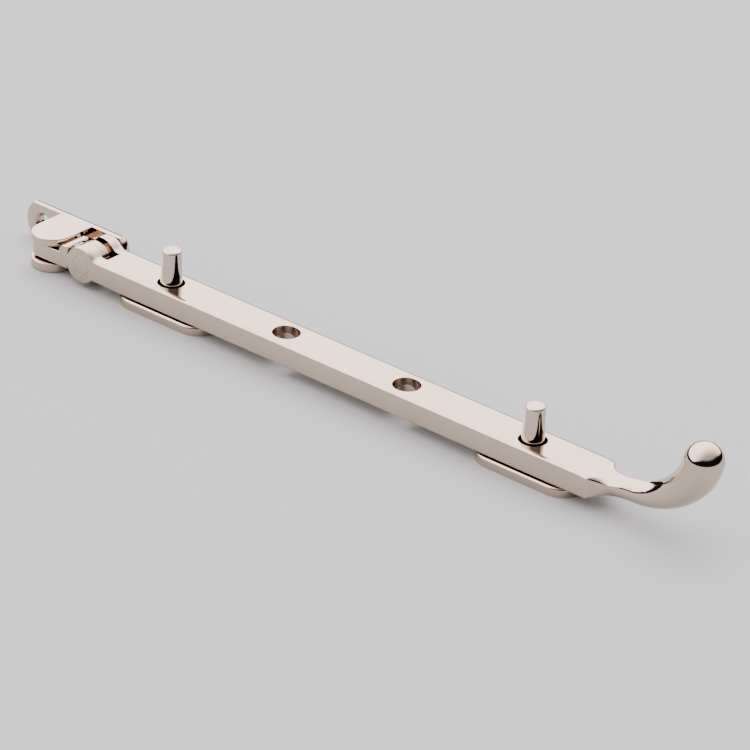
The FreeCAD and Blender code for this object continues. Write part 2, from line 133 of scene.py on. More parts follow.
def outwardNormals(loop, closed=True):
    # At each point of an anticlockwise loop, the outward way that moves both its edges by one.
    before = np.roll(loop, 1, 0)
    after = np.roll(loop, -1, 0)
    if not closed:
        before[0] = 2 * loop[0] - loop[1]
        after[-1] = 2 * loop[-1] - loop[-2]
    edgeIn = loop - before
    edgeOut = after - loop
    edgeIn = edgeIn / np.linalg.norm(edgeIn, axis=1, keepdims=True)
    edgeOut = edgeOut / np.linalg.norm(edgeOut, axis=1, keepdims=True)
    normalIn = np.column_stack([edgeIn[:, 1], -edgeIn[:, 0]])
    normalOut = np.column_stack([edgeOut[:, 1], -edgeOut[:, 0]])
    both = normalIn + normalOut
    return 2 * both / np.sum(both * both, axis=1, keepdims=True)


def roundedEdge(low, high, lowRound, highRound, steps=6):
    # Rows of (height, inset) from one flat face to the other. An edge is one radius, or (length along
    # the height, inset, bevel). With q from 0 on the side to 1 on the face, the distance from the face is
    # length (1-q)^2 and the inset is 2q(1-q) bevel + q^2 inset, so a bevel leans the side before the turn.
    q = np.linspace(0, 1, steps + 1)
    rows = []
    for edge, face, side in ((lowRound, low, 1), (highRound, high, -1)):
        along, inset, bevel = edge if isinstance(edge, tuple) else (edge, edge, 0)
        height = face + side * along * (1 - q) ** 2
        rows.append(np.column_stack([height, 2 * q * (1 - q) * bevel + q ** 2 * inset]))
    return np.vstack([rows[0][::-1], rows[1]])


def slab(name, loop, edge, plane):
    # A profile carried round a loop: point = loop - inset * outward normal, at each height of the edge
    # profile, with a flat face at both ends. plane is "xy" for a loop seen from above, "xz" from the front.
    loop = loop[np.linalg.norm(loop - np.roll(loop, 1, 0), axis=1) > 1e-4]
    normals = outwardNormals(loop)
    flat = loop[None] - normals[None] * edge[:, 1][:, None, None]
    height = np.broadcast_to(edge[:, 0][:, None], flat.shape[:2])
    if plane == "xy":
        points = np.stack([flat[..., 0], flat[..., 1], height], -1)
    else:
        points = np.stack([flat[..., 0], height, flat[..., 1]], -1)
    rows, columns = height.shape
    faces = gridQuads(rows, columns, roundColumns=True).tolist()
    faces += [list(range(columns)), list(range((rows - 1) * columns, rows * columns))]
    return addMesh(name, points, faces)


def turned(name, profile, centre, axis="z", steps=96):
    # A profile of (radius, height) turned about an axis: point = (r cos angle, r sin angle, height).
    angle = np.linspace(0, 2 * np.pi, steps, endpoint=False)
    radius = profile[:, 0][:, None]
    height = np.broadcast_to(profile[:, 1][:, None], (len(profile), steps))
    across, along = radius * np.cos(angle), radius * np.sin(angle)
    if axis == "z":
        points = np.stack([centre[0] + across, centre[1] + along, height], -1)
    else:
        points = np.stack([centre[0] + across, height, centre[2] + along], -1)
    return addMesh(name, points, gridQuads(len(profile), steps, roundColumns=True).tolist())


def combine(piece, tools, operation):
    # Joins the tools to the piece, or cuts them from it, and keeps the result as the piece's mesh.
    for tool in tools:
        step = piece.modifiers.new("step", "BOOLEAN")
        step.operation = operation
        step.solver = "EXACT"
        step.object = tool
    bpy.context.view_layer.update()
    seen = piece.evaluated_get(bpy.context.evaluated_depsgraph_get())
    result = bpy.data.meshes.new_from_object(seen)
    piece.modifiers.clear()
    piece.data = result
    for tool in tools:
        bpy.data.objects.remove(tool)


def finishPiece(piece, body, node, material):
    # Smooth shading with crisp corners, then the body, the CAD node and the finish of the piece.
    mesh = piece.data
    mesh.materials.clear()
    mesh.materials.append(material)
    mesh.polygons.foreach_set("material_index", np.zeros(len(mesh.polygons), np.int32))
    mesh.polygons.foreach_set("use_smooth", np.ones(len(mesh.polygons), bool))
    mesh.set_sharp_from_angle(angle=math.radians(sharpAngle))
    even = piece.modifiers.new("evenShading", "WEIGHTED_NORMAL")
    even.keep_sharp = True
    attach(piece, body)
    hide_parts(node)
    print(f"{piece.name}: {len(mesh.polygons)} faces")


# Finishes

def newGroup(name, inputs, outputs):
    # An empty node group with its sockets, and its two end nodes.
    group = bpy.data.node_groups.new(name, "ShaderNodeTree")
    for label, kind, start in inputs:
        socket = group.interface.new_socket(label, in_out="INPUT", socket_type=kind)
        socket.default_value = start
    for label, kind in outputs:
        group.interface.new_socket(label, in_out="OUTPUT", socket_type=kind)
    return group, group.nodes.new("NodeGroupInput"), group.nodes.new("NodeGroupOutput")


def noiseNode(tree, place, scale, detail, roughness=0.5):
    # A noise texture. Its scale is a number or another node's output.
    noise = tree.nodes.new("ShaderNodeTexNoise")
    noise.inputs["Detail"].default_value = detail
    noise.inputs["Roughness"].default_value = roughness
    tree.links.new(place, noise.inputs["Vector"])
    if isinstance(scale, (int, float)):
        noise.inputs["Scale"].default_value = scale
    else:
        tree.links.new(scale, noise.inputs["Scale"])
    return noise.outputs["Fac"]


def rangeNode(tree, source, fromLow, fromHigh, toLow, toHigh):
    # A linear map with clamped ends. Each end is a number or another node's output.
    node = tree.nodes.new("ShaderNodeMapRange")
    ends = {"From Min": fromLow, "From Max": fromHigh, "To Min": toLow, "To Max": toHigh}
    for label, number in ends.items():
        if isinstance(number, (int, float)):
            node.inputs[label].default_value = number
        else:
            tree.links.new(number, node.inputs[label])
    tree.links.new(source, node.inputs["Value"])
    return node.outputs["Result"]


polishSizes = {
    "waveDetail": 2.0, "hairStretch": (60.0, 1500.0, 1500.0), "hairDetail": 3.0, "hairRough": 0.6,
    "hairRange": (0.55, 0.78), "cloudScale": 45.0, "cloudDetail": 3.0,
    "dullRange": (0.35, 0.7), "dullLeast": 0.25, "tintRange": (0.3, 0.7),
}


def buildPolish():
    # Hand polishing: slow waves in the height, drifting tint, and hair scratches that dull the gloss.
    p = polishSizes
    starts = {"Waves": 90.0, "Dull": 0.10, "Bright": 0.03}
    inputs = [(label, "NodeSocketFloat", start) for label, start in starts.items()]
    outputs = [(label, "NodeSocketFloat") for label in ("Height", "Roughness", "Tint")]
    group, given, out = newGroup("handPolish", inputs, outputs)
    place = group.nodes.new("ShaderNodeTexCoord").outputs["Object"]
    waves = noiseNode(group, place, given.outputs["Waves"], p["waveDetail"])
    stretch = group.nodes.new("ShaderNodeMapping")
    stretch.inputs["Scale"].default_value = p["hairStretch"]  # hair lines run along the arm
    group.links.new(place, stretch.inputs["Vector"])
    hairs = noiseNode(group, stretch.outputs["Vector"], 1.0, p["hairDetail"], p["hairRough"])
    hairMask = rangeNode(group, hairs, *p["hairRange"], 0.0, 1.0)
    cloud = noiseNode(group, place, p["cloudScale"], p["cloudDetail"])
    share = group.nodes.new("ShaderNodeMath")
    share.operation = "MULTIPLY"
    group.links.new(hairMask, share.inputs[0])
    group.links.new(rangeNode(group, cloud, *p["dullRange"], p["dullLeast"], 1.0), share.inputs[1])
    roughness = rangeNode(group, share.outputs[0], 0.0, 1.0, given.outputs["Bright"], given.outputs["Dull"])
    group.links.new(waves, out.inputs["Height"])
    group.links.new(roughness, out.inputs["Roughness"])
    group.links.new(rangeNode(group, cloud, *p["tintRange"], 0.0, 1.0), out.inputs["Tint"])
    return group


def nickel(name, values):
    # Polished nickel: values are its two tints, its gloss range and the depth of its polishing waves.
    material = bpy.data.materials.new(name)
    material.use_nodes = True
    tree = material.node_tree
    shader = tree.nodes["Principled BSDF"]
    shader.inputs["Metallic"].default_value = 1.0
    polish = tree.nodes.new("ShaderNodeGroup")
    polish.node_tree = polishGroup
    polish.inputs["Waves"].default_value = values["waves"]
    polish.inputs["Dull"].default_value = values["dull"]
    polish.inputs["Bright"].default_value = values["bright"]
    tint = tree.nodes.new("ShaderNodeMix")
    tint.data_type = "RGBA"
    tint.inputs["A"].default_value = (*values["tint"], 1)
    tint.inputs["B"].default_value = (*values["secondTint"], 1)
    tree.links.new(polish.outputs["Tint"], tint.inputs["Factor"])
    tree.links.new(tint.outputs["Result"], shader.inputs["Base Color"])
    tree.links.new(polish.outputs["Roughness"], shader.inputs["Roughness"])
    bump = tree.nodes.new("ShaderNodeBump")
    bump.inputs["Strength"].default_value = 1.0
    bump.inputs["Distance"].default_value = values["depth"]
    tree.links.new(polish.outputs["Height"], bump.inputs["Height"])
    tree.links.new(bump.outputs["Normal"], shader.inputs["Normal"])
    return material


polishGroup = buildPolish()
castingFinish = nickel("castingNickel", {
    "tint": (0.53, 0.43, 0.36), "secondTint": (0.56, 0.455, 0.385),
    "waves": 70.0, "bright": 0.03, "dull": 0.09, "depth": 0.00002})
pinFinish = nickel("pinNickel", {
    "tint": (0.53, 0.43, 0.36), "secondTint": (0.55, 0.45, 0.375),
    "waves": 120.0, "bright": 0.03, "dull": 0.08, "depth": 0.000005})
turnedFinish = nickel("turnedNickel", {
    "tint": (0.55, 0.46, 0.40), "secondTint": (0.58, 0.485, 0.42),
    "waves": 160.0, "bright": 0.025, "dull": 0.07, "depth": 0.000006})
plateFinish = nickel("plateNickel", {
    "tint": (0.51, 0.42, 0.35), "secondTint": (0.55, 0.45, 0.375),
    "waves": 60.0, "bright": 0.05, "dull": 0.14, "depth": 0.00002})
print("finishes ready")


# The arm: fork, bar, scooped neck and bulb in one skin

arm = {
    "halfWidth": 7.5, "bottom": 4.0, "top": 11.6,
    "edgeRound": 0.5, "edgeRoll": 1.3, "edgeBevel": 0.24, "bevelMost": 0.6,
    "earRadius": 6.6, "earHollow": 2.5, "forkEnd": -20.0,
    "slotHalf": 3.1, "slotDepth": 8.2, "slotBack": 10.0, "slotLow": -2.0, "slotHigh": 20.0,
    "boreRadius": 3.42, "boreRim": 0.08, "holePitch": 50.0, "holeRadius": 4.6, "holeRim": 0.25,
    "shoulder": 176.2, "shoulderHollow": 7.0, "shoulderRound": 0.5,
    "shoulderEdge": 1.3, "shoulderRoll": 1.3,
    "neckHalf": 4.3, "neckHalfHeight": 3.8, "neckRise": 1.2, "neckEdge": 0.35,
    "scoopLead": 1.0, "scoopRadius": 25.0, "scoopDepth": 1.15, "scoopSink": 1.1,
    "scoopLength": 12.6, "scoopEase": 10.5,
    "rampStart": 0.3, "rampEase": 2.0, "rampSlope": 12.0,
    "tailLength": 7.7, "tailRadius": 3.8, "tailRise": 5.4,
    "bulbRadius": 6.4, "bulbReach": 22.6, "bulbRise": 17.0, "bulbLean": 82.0,
    "levelPull": 8.0, "steepPull": 11.0, "swellPower": 0.9,
}
# where each change in the arm's section starts or ends, measured from the shoulder or the neck's start
easing = {
    "slimFrom": -1.0, "liftFrom": -1.5, "liftTo": 0.5, "roundFrom": -0.5, "roundTo": 3.5,
    "edgeFrom": -0.5, "edgeTo": 1.5, "rollFrom": -4.0, "rollTo": 2.0,
}
stripSteps, edgeSteps, sideSteps = 14, 7, 22  # steps across half a ring: flat top, rounded edge, side
rowCounts = {"bar": 8, "dip": 14, "corner": 38, "neck": 60, "tail": 110, "bulb": 45}
rowStops = {"bar": -6.0, "dip": (-5.8, -2.3), "corner": (-2.2, 1.5), "neck": 1.6}  # from the shoulder
wholeMark = 1.0  # a cut this far above a ring's top says that the ring is whole
closingRounds = 12  # rounds to find where a leaning ring meets the scoop
evenRows = 24  # rows over which the angles of the whole rings ease to even steps
hollowAcross = arm["neckHalf"] + arm["shoulderHollow"]
neckStart = arm["shoulder"] + math.sqrt(arm["shoulderHollow"] ** 2 - (hollowAcross - arm["halfWidth"]) ** 2)
tailStart = neckStart + arm["tailLength"]
tailLevel = arm["bottom"] + arm["tailRise"]
scoopReach = math.sqrt(arm["scoopRadius"] ** 2 - (arm["scoopRadius"] - arm["scoopDepth"]) ** 2)
scoopLow = arm["shoulder"] - arm["scoopLead"] + scoopReach
scoopEnd = scoopLow + arm["scoopLength"]
lean = math.radians(arm["bulbLean"])


def scoopHeight(x):
    # Height of the scooped strip: an S curve down from the bar's top, then a ramp that eases in:
    # low + slope * (run + sqrt(run^2 + ease^2)) / 2, with run measured from the foot of the ramp.
    falling = arm["top"] - arm["scoopSink"] * smooth(x, scoopLow - arm["scoopEase"], scoopLow)
    run = np.asarray(x, float) - scoopLow - arm["rampStart"]
    rising = math.tan(math.radians(arm["rampSlope"])) * (run + np.sqrt(run ** 2 + arm["rampEase"] ** 2)) / 2
    return falling + rising


def tailLine(t):
    # The tail's centre line, a cubic curve that leaves level and arrives leaning, and its slope.
    rise = arm["top"] + arm["bulbRise"] - tailLevel
    pullX = arm["bulbReach"] - arm["steepPull"] * math.cos(lean)
    pullZ = rise - arm["steepPull"] * math.sin(lean)
    b = 1 - t
    x = 3 * b * b * t * arm["levelPull"] + 3 * b * t * t * pullX + t ** 3 * arm["bulbReach"]
    z = 3 * b * t * t * pullZ + t ** 3 * rise
    slopeX = b * b * arm["levelPull"] + 2 * b * t * (pullX - arm["levelPull"])
    slopeX = slopeX + t * t * (arm["bulbReach"] - pullX)
    slopeZ = 2 * b * t * pullZ + t * t * (rise - pullZ)
    return tailStart + x, tailLevel + z, np.arctan2(slopeZ, slopeX)


def armStations():
    # Rows of ring values along the arm: centre x and z, tilt, half width, half height, height of the
    # flat top over the centre, blend from rectangle to ellipse, and how far down and how far in the top
    # edge's rounding reaches. The second result is the number of rows whose top is cut flat.
    shoulder = arm["shoulder"]
    dipFrom, dipTo = (shoulder + stop for stop in rowStops["dip"])
    cornerFrom, cornerTo = (shoulder + stop for stop in rowStops["corner"])
    barX = np.concatenate([
        np.linspace(arm["forkEnd"], shoulder + rowStops["bar"], rowCounts["bar"]),
        np.linspace(dipFrom, dipTo, rowCounts["dip"]),
        np.linspace(cornerFrom, cornerTo, rowCounts["corner"]),
        np.linspace(shoulder + rowStops["neck"], tailStart, rowCounts["neck"])[:-1],
    ])
    across = np.clip(barX - neckStart, -arm["shoulderHollow"], 0)
    hollow = hollowAcross - np.sqrt(np.maximum(arm["shoulderHollow"] ** 2 - across ** 2, 0))
    gap = hollow - arm["halfWidth"]
    k = arm["shoulderRound"]
    half = arm["halfWidth"] + (gap - np.sqrt(gap ** 2 + (k / 2) ** 2)) / 2  # the smaller of the two, rounded
    half = np.where(barX < dipTo, arm["halfWidth"], half)
    half = mix(half, arm["tailRadius"], smooth(barX, neckStart + easing["slimFrom"], tailStart))
    lift = arm["neckRise"] * smooth(barX, shoulder + easing["liftFrom"], neckStart + easing["liftTo"])
    middle = (arm["bottom"] + arm["top"]) / 2
    level = mix(middle + lift, tailLevel, smooth(barX, neckStart, tailStart))
    blend = smooth(barX, shoulder + easing["roundFrom"], neckStart + easing["roundTo"])
    edgeShare = smooth(barX, shoulder + easing["edgeFrom"], shoulder + easing["edgeTo"])
    rollShare = smooth(barX, shoulder + easing["rollFrom"], shoulder + easing["rollTo"])
    neckShare = smooth(barX, shoulder + easing["rollTo"], tailStart)
    edge = mix(mix(arm["edgeRound"], arm["shoulderEdge"], edgeShare), arm["neckEdge"], neckShare)
    roll = mix(mix(arm["edgeRoll"], arm["shoulderRoll"], rollShare), arm["neckEdge"], neckShare)
    flat = scoopHeight(barX) - level
    height = 0 * barX + arm["neckHalfHeight"]
    bar = np.column_stack([barX, level, 0 * barX, half, height, flat, blend, edge, roll])

    t = np.linspace(0, 1, rowCounts["tail"])
    x, z, tilt = tailLine(t)
    radius = mix(arm["tailRadius"], arm["bulbRadius"], smooth(t ** arm["swellPower"], 0, 1))
    # where the ring's own up line meets the scoop, by a few rounds of closing in
    cut = scoopHeight(x) - z
    for _ in range(closingRounds):
        cut = (scoopHeight(x - cut * np.sin(tilt)) - z) / np.cos(tilt)
    cutX = x - cut * np.sin(tilt)
    last = int(np.argmax(cutX > scoopEnd))  # from here on the ring is whole
    cut[last:] = radius[last:] + wholeMark
    plain = 0 * t + arm["neckEdge"]
    tail = np.column_stack([x, z, tilt, radius, radius, cut, 0 * t + 1, plain, plain])
    ledge = tail[last - 1].copy()
    ledge[5] = ledge[3] + wholeMark  # its flat top lifted over its radius
    return np.vstack([bar, tail[:last], ledge, tail[last:]]), len(bar) + last


def quadraticBend(start, corner, end, steps):
    # A rounded corner: (1-q)^2 start + 2q(1-q) corner + q^2 end.
    q = np.linspace(0, 1, steps + 1)[1:][None, :, None]
    return (1 - q) ** 2 * start[:, None] + 2 * q * (1 - q) * corner[:, None] + q ** 2 * end[:, None]


def ringHalves(stations):
    # Half rings, from the top middle to the bottom middle, as (across, up) for each station.
    # The flat strip and its rounded edge come first, then a path that blends a rectangle's side and
    # bottom with an ellipse's arc. Rings past the ledge are whole circles whose angles even out.
    half, height, cut, blend, edge, roll = (stations[:, n][:, None] for n in (3, 4, 5, 6, 7, 8))
    whole = cut > height + wholeMark / 2
    q = np.linspace(0, 1, sideSteps + edgeSteps + stripSteps + 1)[1:][None]
    reach = np.clip(cut / height, -1, 1)
    phi = np.arcsin(np.where(whole, 0, reach))
    share = sideSteps / q.shape[1]
    cornerShare = edgeSteps / q.shape[1]
    r = arm["edgeRound"]

    # ellipse arc from the strip's edge to the bottom
    start = edge / np.maximum((phi + np.pi / 2) * height, 1)
    qs = start + (1 - start) * q
    qAll = np.concatenate([start, qs], 1)
    angle = mix(phi, -np.pi / 2, qAll)
    ellipse = np.stack([half * np.cos(angle), height * np.sin(angle)], -1)
    # rectangle's side, its rounded bottom corner and its bottom
    bottomSide = -height + r
    walk = np.concatenate([0 * start, q + 0 * start], 1)
    sideT = np.clip(walk / share, 0, 1)
    side = mix(cut - edge, bottomSide, sideT)
    cornerT = np.clip((walk - share) / cornerShare, 0, 1)
    bottomT = np.clip((walk - share - cornerShare) / (1 - share - cornerShare), 0, 1)
    rectX = half - r * cornerT ** 2
    rectZ = side - r * (1 - (1 - cornerT) ** 2)
    rectX = mix(rectX, 0, bottomT)
    rectangle = np.stack([rectX, rectZ], -1)
    path = mix(rectangle, ellipse, blend[..., None])

    edgeAcross = mix(half, half * np.cos(phi), blend)
    bevel = np.minimum(arm["edgeBevel"] * roll, arm["bevelMost"] * edge)
    corner = np.concatenate([edgeAcross, cut - bevel], 1)
    inner = np.concatenate([edgeAcross - roll, cut], 1)
    bend = quadraticBend(inner, corner, path[:, 0], edgeSteps)
    strip = np.linspace(0, 1, stripSteps + 1)[None]
    flat = np.stack([(edgeAcross - roll) * strip, cut + 0 * strip], -1)
    return np.concatenate([flat, bend, path[:, 1:]], 1)


def wholeRings(stations, firstAngles):
    # Circles whose first ring keeps the angles of the ring at the ledge, easing to even steps.
    even = np.linspace(np.pi / 2, -np.pi / 2, len(firstAngles))
    ease = smooth(np.arange(len(stations)), 0, evenRows)[:, None]
    angle = mix(firstAngles[None], even[None], ease)
    return np.stack([stations[:, 3][:, None] * np.cos(angle), stations[:, 4][:, None] * np.sin(angle)], -1)


def buildArmSkin():
    # The arm's whole outside: rings carried along the centre line, a half ball on the bulb, and a fork.
    # A ring's point is centre + across * level + up * (-sin tilt, cos tilt).
    stations, split = armStations()
    cutRings = ringHalves(stations[:split])
    lastRing = cutRings[-1]
    acrossShare = np.clip(lastRing[:, 0] / stations[split - 1, 3], 0, 1)
    upwards = lastRing[:, 1] > 0
    firstAngles = np.where(upwards, 1, -1) * np.arccos(acrossShare)
    rings = np.concatenate([cutRings, wholeRings(stations[split:], firstAngles)])

    # the bulb closes as a half ball along the leaning axis: out = R cos climb, up = R sin climb
    lastX, lastZ, tilt, radius = stations[-1, 0], stations[-1, 1], stations[-1, 2], arm["bulbRadius"]
    climb = np.linspace(0, np.pi / 2, rowCounts["bulb"])[1:]
    out = radius * np.cos(climb)
    up = radius * np.sin(climb)
    even = np.linspace(np.pi / 2, -np.pi / 2, rings.shape[1])
    domeRings = out[:, None, None] * np.stack([np.cos(even), np.sin(even)], -1)[None]
    domeX = lastX + up * math.cos(tilt)
    domeZ = lastZ + up * math.sin(tilt)

    x = np.concatenate([stations[:, 0], domeX])[:, None]
    z = np.concatenate([stations[:, 1], domeZ])[:, None]
    tilts = np.concatenate([stations[:, 2], 0 * domeX + tilt])[:, None]
    rings = np.concatenate([rings, domeRings])
    full = np.concatenate([rings, (rings * [-1, 1])[:, -2:0:-1]], 1)
    points = np.stack([
        x - full[..., 1] * np.sin(tilts),
        -full[..., 0],
        z + full[..., 1] * np.cos(tilts),
    ], -1)
    tube = gridQuads(points.shape[0], points.shape[1], roundColumns=True)

    # the fork: the ring's top profile carried round the ears, which end where the bar begins
    fx, fz = forkAxis[0], forkAxis[2]
    rise = arm["top"] - fz
    reach = arm["earRadius"] + arm["earHollow"]
    hollowX = fx + math.sqrt(reach ** 2 - (arm["earHollow"] + rise) ** 2)
    hollowCentre = (hollowX, arm["top"] + arm["earHollow"])
    meet = math.degrees(math.atan2(hollowCentre[1] - fz, hollowCentre[0] - fx))
    notch = math.degrees(math.asin((arm["bottom"] - fz) / arm["earRadius"]))
    outline = np.vstack([
        [[arm["forkEnd"], arm["top"]]],
        arcPoints(hollowCentre, arm["earHollow"], -90, meet - 180, 14),
        arcPoints((fx, fz), arm["earRadius"], meet, 360 + notch, 110)[1:],
        [[arm["forkEnd"], arm["bottom"]]],
    ])
    normals = outwardNormals(outline, closed=False)
    top = rings[0][:stripSteps + edgeSteps + 1]
    profile = np.concatenate([(top * [-1, 1])[::-1], top[1:]])  # from one face across to the other
    drop = rings[0][0, 1] - profile[:, 1]
    flat = outline[:, None] - normals[:, None] * drop[None, :, None]
    shell = np.stack([flat[..., 0], -np.broadcast_to(profile[:, 0], drop.shape)[None] + 0 * flat[..., 0],
                      flat[..., 1]], -1)
    faces = tube.tolist()
    base = points.shape[0] * points.shape[1]
    faces += (gridQuads(*shell.shape[:2]) + base).tolist()
    # the two flat outer faces of the fork
    columns = shell.shape[1]
    halfCount = rings.shape[1]
    sideFrom, sideTo = stripSteps + edgeSteps, stripSteps + edgeSteps + sideSteps
    nearSide = np.arange(sideFrom, sideTo + 1)
    farSide = 2 * (halfCount - 1) - nearSide
    for column, side in ((columns - 1, nearSide), (0, farSide)):
        rim = base + np.arange(1, shell.shape[0] - 1) * columns + column
        faces.append(rim.tolist() + side[::-1].tolist())
    return addMesh("stayArm", np.concatenate([points.reshape(-1, 3), shell.reshape(-1, 3)]), faces)


def rimmedCutter(name, radius, low, high, rim, centre, axis="z"):
    # A round cutter that flares by a quarter circle at both faces, so the hole gets rounded rims:
    # radius + rim (1 - cos angle), at rim (1 - sin angle) below the face.
    angle = np.linspace(0, np.pi / 2, 6)
    flare = np.column_stack([radius + rim * (1 - np.cos(angle)), high - rim * (1 - np.sin(angle))])
    widest = radius + rim + 0.3 * cutterOver
    upper = np.vstack([flare, [[widest, high + cutterOver], [0, high + cutterOver]]])
    lower = np.column_stack([upper[:, 0], low + high - upper[:, 1]])[::-1]
    return turned(name, np.vstack([lower, upper]), centre, axis)


def blockTool(low, high):
    # A plain block between two corners.
    corners = [[x, y, z] for x in (low[0], high[0]) for y in (low[1], high[1]) for z in (low[2], high[2])]
    faces = [[0, 1, 3, 2], [4, 6, 7, 5], [0, 4, 5, 1], [2, 3, 7, 6], [0, 2, 6, 4], [1, 5, 7, 3]]
    return addMesh("block", corners, faces)


def makeArm():
    # The skin, cut by the fork's slot, the pin's bore and the four peg holes.
    piece = buildArmSkin()
    width, bottom, top = arm["halfWidth"], arm["bottom"], arm["top"]
    slotFrom = (forkAxis[0] - arm["slotBack"], -arm["slotHalf"], arm["slotLow"])
    slotTo = (forkAxis[0] + arm["slotDepth"], arm["slotHalf"], arm["slotHigh"])
    tools = [
        blockTool(slotFrom, slotTo),
        rimmedCutter("pinBore", arm["boreRadius"], -width, width, arm["boreRim"], forkAxis, "y"),
    ]
    for x in np.arange(firstPeg[0], lastPeg[0] + 1, arm["holePitch"]):
        tools.append(rimmedCutter("pegHole", arm["holeRadius"], bottom, top, arm["holeRim"], (x, 0, 0)))
    combine(piece, tools, "DIFFERENCE")
    finishPiece(piece, "arm", "stay_arm", castingFinish)


makeArm()


# Pins and pegs

pinSizes = {"forkRadius": 3.4, "forkRound": 0.1, "swivelRadius": 2.5, "swivelRound": 0.0}


def makePin(name, node, body, radius, rounding, axis):
    # A turned rod between the two ends of its CAD node, with rounded rims.
    low, high = nodeBox(node)
    level = 2 if axis == "z" else 1
    edge = roundedEdge(low[level], high[level], rounding, rounding, 4 if rounding else 0)
    side = np.column_stack([radius - edge[:, 1], edge[:, 0]])
    profile = np.vstack([[[0, low[level]]], side, [[0, high[level]]]])
    pin = turned(name, profile, nodeCentre(node), axis, 72)
    finishPiece(pin, body, node, pinFinish)


makePin("forkPin", "fork_pin", "arm", pinSizes["forkRadius"], pinSizes["forkRound"], "y")
makePin("swivelPin", "swivel_pin", "bracket", pinSizes["swivelRadius"], pinSizes["swivelRound"], "z")

pegSizes = {
    "radius": 3.75, "rootRound": 0.15, "spigotRadius": 2.5,
    "tipRadius": 3.25, "tipRound": 0.8, "tipFlat": 0.4,
}


def makePeg(name, node, body):
    # Spigot, plain shank up to the arm's top, slight taper, then a quarter circle into the flat tip.
    p = pegSizes
    low, high = nodeBox(node)
    tip = arcPoints((p["tipRadius"] - p["tipRound"], high[2] - p["tipRound"]), p["tipRound"], 0, 90, 9)
    root = arcPoints((p["radius"] - p["rootRound"], plateTop + p["rootRound"]), p["rootRound"], -90, 0, 4)
    shank = np.linspace(0, 1, 9)[:, None] * [0, arm["top"] - plateTop - p["rootRound"]] + root[-1]
    taper = np.linspace(0, 1, 13)[1:-1, None] * (tip[0] - shank[-1]) + shank[-1]
    profile = np.vstack([
        [[0, low[2]], [p["spigotRadius"], low[2]], [p["spigotRadius"], plateTop]],
        root, shank[1:], taper, tip, [[p["tipRadius"] * p["tipFlat"], high[2]], [0, high[2]]],
    ])
    peg = turned(name, profile, nodeCentre(node), "z", 128)
    finishPiece(peg, body, node, turnedFinish)


makePeg("hingeSidePeg", "hinge_side_peg", "hinge_side_post")
makePeg("handleSidePeg", "handle_side_peg", "handle_side_post")


# Peg plates

plateSizes = {"topRound": 1.2, "bottomRound": 0.15, "screwSpacing": 25.0, "spigotRim": 0.02}
screwSizes = {"holeRadius": 2.2, "headRadius": 3.45, "lipOut": 0.05, "lipIn": 0.15, "lipDeep": 0.1}


def screwCutter(x, y, z, level, thickness, axis):
    # A screw's clearance hole with a 90 degree countersink, as radii and depths below the face the head
    # sits in, which is at level. The lip's edge is broken by a small steeper step.
    hole, head = screwSizes["holeRadius"], screwSizes["headRadius"]
    profile = np.array([
        [0, -cutterOver], [head + cutterOver, -cutterOver],
        [head + screwSizes["lipOut"], -screwSizes["lipOut"]],
        [head - screwSizes["lipIn"], screwSizes["lipDeep"]],
        [hole, head - hole], [hole, thickness + cutterOver], [0, thickness + cutterOver],
    ])
    profile[:, 1] = level + profile[:, 1] * (1 if axis == "y" else -1)
    return turned("screwHole", profile, (x, y, z), axis, 72)


def makePlate(name, node, body):
    # A plate with round ends, its two screw holes and the hole of the peg's spigot.
    low, high = nodeBox(node)
    centre = (low + high) / 2
    end = (high[1] - low[1]) / 2
    outline = np.vstack([
        arcPoints((high[0] - end, centre[1]), end, -90, 90, 48),
        arcPoints((low[0] + end, centre[1]), end, 90, 270, 48),
    ])
    s = plateSizes
    plate = slab(name, outline, roundedEdge(low[2], high[2], s["bottomRound"], s["topRound"], 10), "xy")
    thickness = high[2] - low[2]
    tools = [screwCutter(centre[0] + side * s["screwSpacing"] / 2, centre[1], 0, high[2], thickness, "z")
             for side in (-1, 1)]
    spigot = pegSizes["spigotRadius"] + overlap
    tools.append(rimmedCutter("spigotHole", spigot, low[2], high[2], s["spigotRim"], centre))
    combine(plate, tools, "DIFFERENCE")
    finishPiece(plate, body, node, plateFinish)


makePlate("hingeSidePegPlate", "hinge_side_peg_plate", "hinge_side_post")
makePlate("handleSidePegPlate", "handle_side_peg_plate", "handle_side_post")


# Swivel link: a tongue between the leaves, a shoulder and the eye in the fork

linkSizes = {
    "bottom": 4.0, "tongueRadius": 6.4, "tongueHalf": 5.3, "tongueTop": 9.2,
    "underRound": 0.3, "topRound": 0.35, "shoulderBack": 7.6, "shoulderFront": 11.8, "shoulderTop": 12.2,
    "shoulderRound": 2.8, "shoulderEdge": 0.55, "frontRound": 0.6,
    "eyeRadius": 6.3, "eyeHalf": 1.95, "eyeEdge": 0.35, "eyeSteps": 6,
    "eyeSink": 1.0, "eyeUnder": 0.3, "eyeOver": 0.5,
    "grooveDepth": 0.12, "grooveSpacing": 0.85, "grooveSharp": 3.0,
    "eyeBore": 3.45, "tongueBore": 2.55, "boreRim": 0.1,
}


